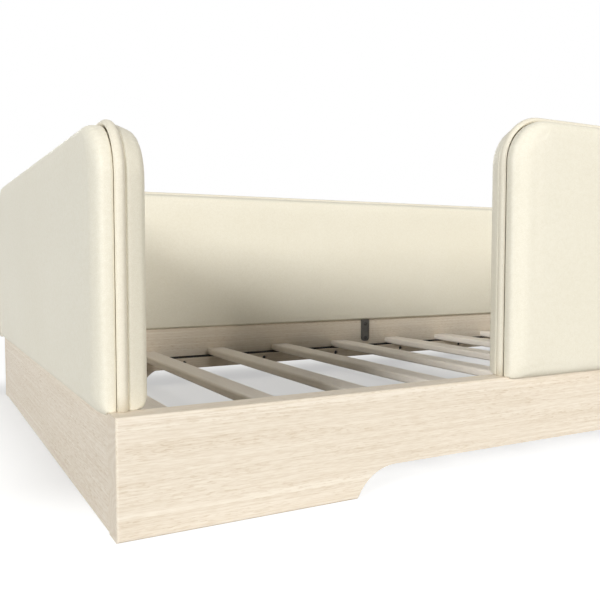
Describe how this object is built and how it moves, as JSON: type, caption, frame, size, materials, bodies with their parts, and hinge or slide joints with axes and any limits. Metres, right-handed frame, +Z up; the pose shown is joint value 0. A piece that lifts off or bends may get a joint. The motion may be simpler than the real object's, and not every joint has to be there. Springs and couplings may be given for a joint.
{
  "type": "toddler floor bed",
  "caption": "Low timber floor bed with a slatted base, padded leather-look panels with piped edges on all sides and an open entry gap at the front.",
  "frame": {"origin": "on the floor, under the middle of the bed's outer box", "axes": "+X along the bed towards the head end, +Y towards the back long side, +Z up; the entry gap is at the front, beside the foot end"},
  "size_m": [1.514, 0.7979, 0.401],
  "materials": {
    "oak": "matt bleached oak",
    "dowel_wood": "raw beech",
    "ledger_wood": "matt",
    "slat_wood": "planed, matt",
    "panel_board": "raw board",
    "upholstery": "fine grain, soft sheen",
    "piping": "fine grain, soft sheen",
    "steel": "satin grey",
    "screw_steel": "blackened",
    "webbing": "woven tape"
  },
  "bodies": {
    "root": {"back_ledger": "ledger_wood", "back_panel_board": "panel_board", "back_panel_inner_pad": "upholstery", "back_panel_outer_pad": "upholstery", "back_panel_piping": "piping", "back_panel_straps": "steel", "back_rail": "oak", "back_webbing": "webbing", "bracket_screws": "screw_steel", "corner_brackets": "steel", "corner_dowels": "dowel_wood", "foot_end_rail": "oak", "foot_panel_board": "panel_board", "foot_panel_inner_pad": "upholstery", "foot_panel_outer_pad": "upholstery", "foot_panel_piping": "piping", "foot_panel_straps": "steel", "front_ledger": "ledger_wood", "front_rail": "oak", "front_webbing": "webbing", "guard_panel_board": "panel_board", "guard_panel_inner_pad": "upholstery", "guard_panel_outer_pad": "upholstery", "guard_panel_piping": "piping", "guard_panel_straps": "steel", "head_end_rail": "oak", "head_panel_board": "panel_board", "head_panel_inner_pad": "upholstery", "head_panel_outer_pad": "upholstery", "head_panel_piping": "piping", "head_panel_straps": "steel", "ledger_screws": "screw_steel", "slat_01": "slat_wood", "slat_02": "slat_wood", "slat_03": "slat_wood", "slat_04": "slat_wood", "slat_05": "slat_wood", "slat_06": "slat_wood", "slat_07": "slat_wood", "slat_08": "slat_wood", "slat_09": "slat_wood", "slat_10": "slat_wood", "strap_screws": "screw_steel"}
  },
  "joints": []
}
